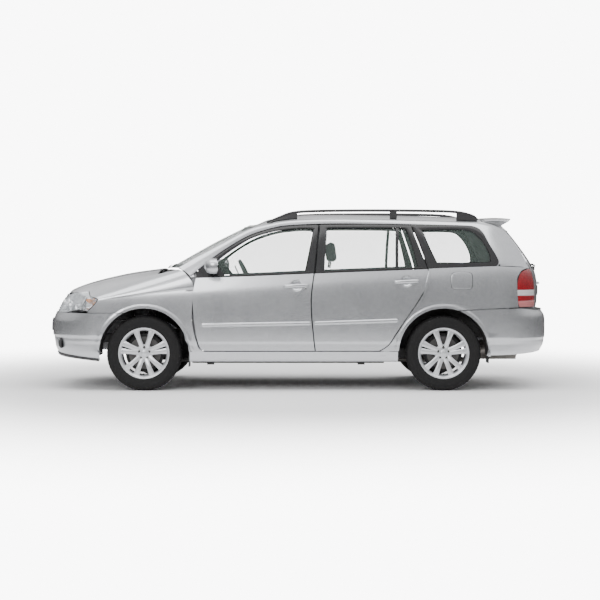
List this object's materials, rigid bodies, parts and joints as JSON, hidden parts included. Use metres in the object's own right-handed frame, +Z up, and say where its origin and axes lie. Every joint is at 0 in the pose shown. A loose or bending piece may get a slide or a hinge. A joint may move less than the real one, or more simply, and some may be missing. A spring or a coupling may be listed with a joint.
{
  "type": "station wagon car",
  "caption": "Five-door compact estate car with opening doors, bonnet, tailgate and fuel flap, steered front wheels, rolling wheels and roof rails.",
  "frame": {"origin": "on the ground, at the middle of the length and width of the whole car", "axes": "-X forward, -Y to the left side of the car, +Z up"},
  "size_m": [4.4657, 2.0456, 1.5873],
  "materials": {
    "silver_paint": "silver metallic with clear coat",
    "clear_glass": "clear, slightly green",
    "black_plastic": "fine grained",
    "lamp_clear": "clear lens over chrome",
    "lamp_red": "gloss, red",
    "cabin_plastic": "soft grain",
    "seat_cloth": "woven",
    "engine_metal": "cast",
    "exhaust_steel": "dull",
    "chassis_paint": "satin black",
    "wheel_alloy": "painted silver",
    "tyre_rubber": "matt"
  },
  "bodies": {
    "body": {"floor_pan": "chassis_paint", "body_sides": "silver_paint", "roof_panel": "silver_paint", "front_fenders": "silver_paint", "front_bumper": "silver_paint", "rear_bumper": "silver_paint", "grille": "black_plastic", "head_lamps": "lamp_clear", "tail_lamps": "lamp_red", "windscreen": "clear_glass", "quarter_windows": "clear_glass", "roof_rails": "black_plastic", "mud_flaps": "black_plastic", "wheel_arch_liners": "black_plastic", "cowl_panel": "black_plastic", "wipers": "black_plastic", "dashboard": "cabin_plastic", "steering_wheel": "cabin_plastic", "front_seats": "seat_cloth", "rear_seat": "seat_cloth", "engine_block": "engine_metal", "fuel_tank": "black_plastic", "exhaust": "exhaust_steel", "front_subframe": "chassis_paint", "rear_axle_beam": "chassis_paint"},
    "bonnet": {"bonnet": "silver_paint"},
    "tailgate": {"tailgate": "silver_paint", "tailgate_glass": "clear_glass", "rear_spoiler": "silver_paint"},
    "fuel_flap": {"fuel_flap": "silver_paint"},
    "front_door_left": {"front_door_left": "silver_paint", "front_door_glass_left": "clear_glass", "door_mirror_left": "silver_paint"},
    "rear_door_left": {"rear_door_left": "silver_paint", "rear_door_glass_left": "clear_glass"},
    "front_knuckle_left": {"front_knuckle_left": "chassis_paint"},
    "front_wheel_left": {"front_wheel_left": "wheel_alloy", "front_tyre_left": "tyre_rubber"},
    "rear_wheel_left": {"rear_wheel_left": "wheel_alloy", "rear_tyre_left": "tyre_rubber"},
    "front_door_right": {"front_door_right": "silver_paint", "front_door_glass_right": "clear_glass", "door_mirror_right": "silver_paint"},
    "rear_door_right": {"rear_door_right": "silver_paint", "rear_door_glass_right": "clear_glass"},
    "front_knuckle_right": {"front_knuckle_right": "chassis_paint"},
    "front_wheel_right": {"front_wheel_right": "wheel_alloy", "front_tyre_right": "tyre_rubber"},
    "rear_wheel_right": {"rear_wheel_right": "wheel_alloy", "rear_tyre_right": "tyre_rubber"}
  },
  "joints": [
    {"name": "steer_left", "type": "hinge", "parent": "body", "child": "front_knuckle_left", "pos_m": [-1.3425, -0.692, 0.325], "axis": [0, 0, 1], "range_deg": [-33, 33]},
    {"name": "front_wheel_turn_left", "type": "hinge", "parent": "front_knuckle_left", "child": "front_wheel_left", "pos_m": [-1.3425, -0.742, 0.325], "axis": [0, 1, 0], "continuous": true},
    {"name": "rear_wheel_turn_left", "type": "hinge", "parent": "body", "child": "rear_wheel_left", "pos_m": [1.2575, -0.742, 0.325], "axis": [0, 1, 0], "continuous": true},
    {"name": "front_door_open_left", "type": "hinge", "parent": "body", "child": "front_door_left", "pos_m": [-0.8765, -0.838, 0.64], "axis": [0, 0, -1], "range_deg": [0, 65]},
    {"name": "rear_door_open_left", "type": "hinge", "parent": "body", "child": "rear_door_left", "pos_m": [0.1595, -0.838, 0.64], "axis": [0, 0, -1], "range_deg": [0, 65]},
    {"name": "steer_right", "type": "hinge", "parent": "body", "child": "front_knuckle_right", "pos_m": [-1.3425, 0.692, 0.325], "axis": [0, 0, 1], "range_deg": [-33, 33]},
    {"name": "front_wheel_turn_right", "type": "hinge", "parent": "front_knuckle_right", "child": "front_wheel_right", "pos_m": [-1.3425, 0.742, 0.325], "axis": [0, 1, 0], "continuous": true},
    {"name": "rear_wheel_turn_right", "type": "hinge", "parent": "body", "child": "rear_wheel_right", "pos_m": [1.2575, 0.742, 0.325], "axis": [0, 1, 0], "continuous": true},
    {"name": "front_door_open_right", "type": "hinge", "parent": "body", "child": "front_door_right", "pos_m": [-0.8765, 0.838, 0.64], "axis": [0, 0, 1], "range_deg": [0, 65]},
    {"name": "rear_door_open_right", "type": "hinge", "parent": "body", "child": "rear_door_right", "pos_m": [0.1595, 0.838, 0.64], "axis": [0, 0, 1], "range_deg": [0, 65]},
    {"name": "bonnet_open", "type": "hinge", "parent": "body", "child": "bonnet", "pos_m": [-1.2405, 0, 1.028], "axis": [0, 1, 0], "range_deg": [0, 45]},
    {"name": "tailgate_open", "type": "hinge", "parent": "body", "child": "tailgate", "pos_m": [1.6375, 0, 1.505], "axis": [0, -1, 0], "range_deg": [0, 80]},
    {"name": "fuel_flap_open", "type": "hinge", "parent": "body", "child": "fuel_flap", "pos_m": [1.3295, -0.845, 0.953], "axis": [0, 0, -1], "range_deg": [0, 80]}
  ],
  "couplings": [
    {"joint": "steer_right", "follows": "steer_left", "ratio": 1}
  ]
}
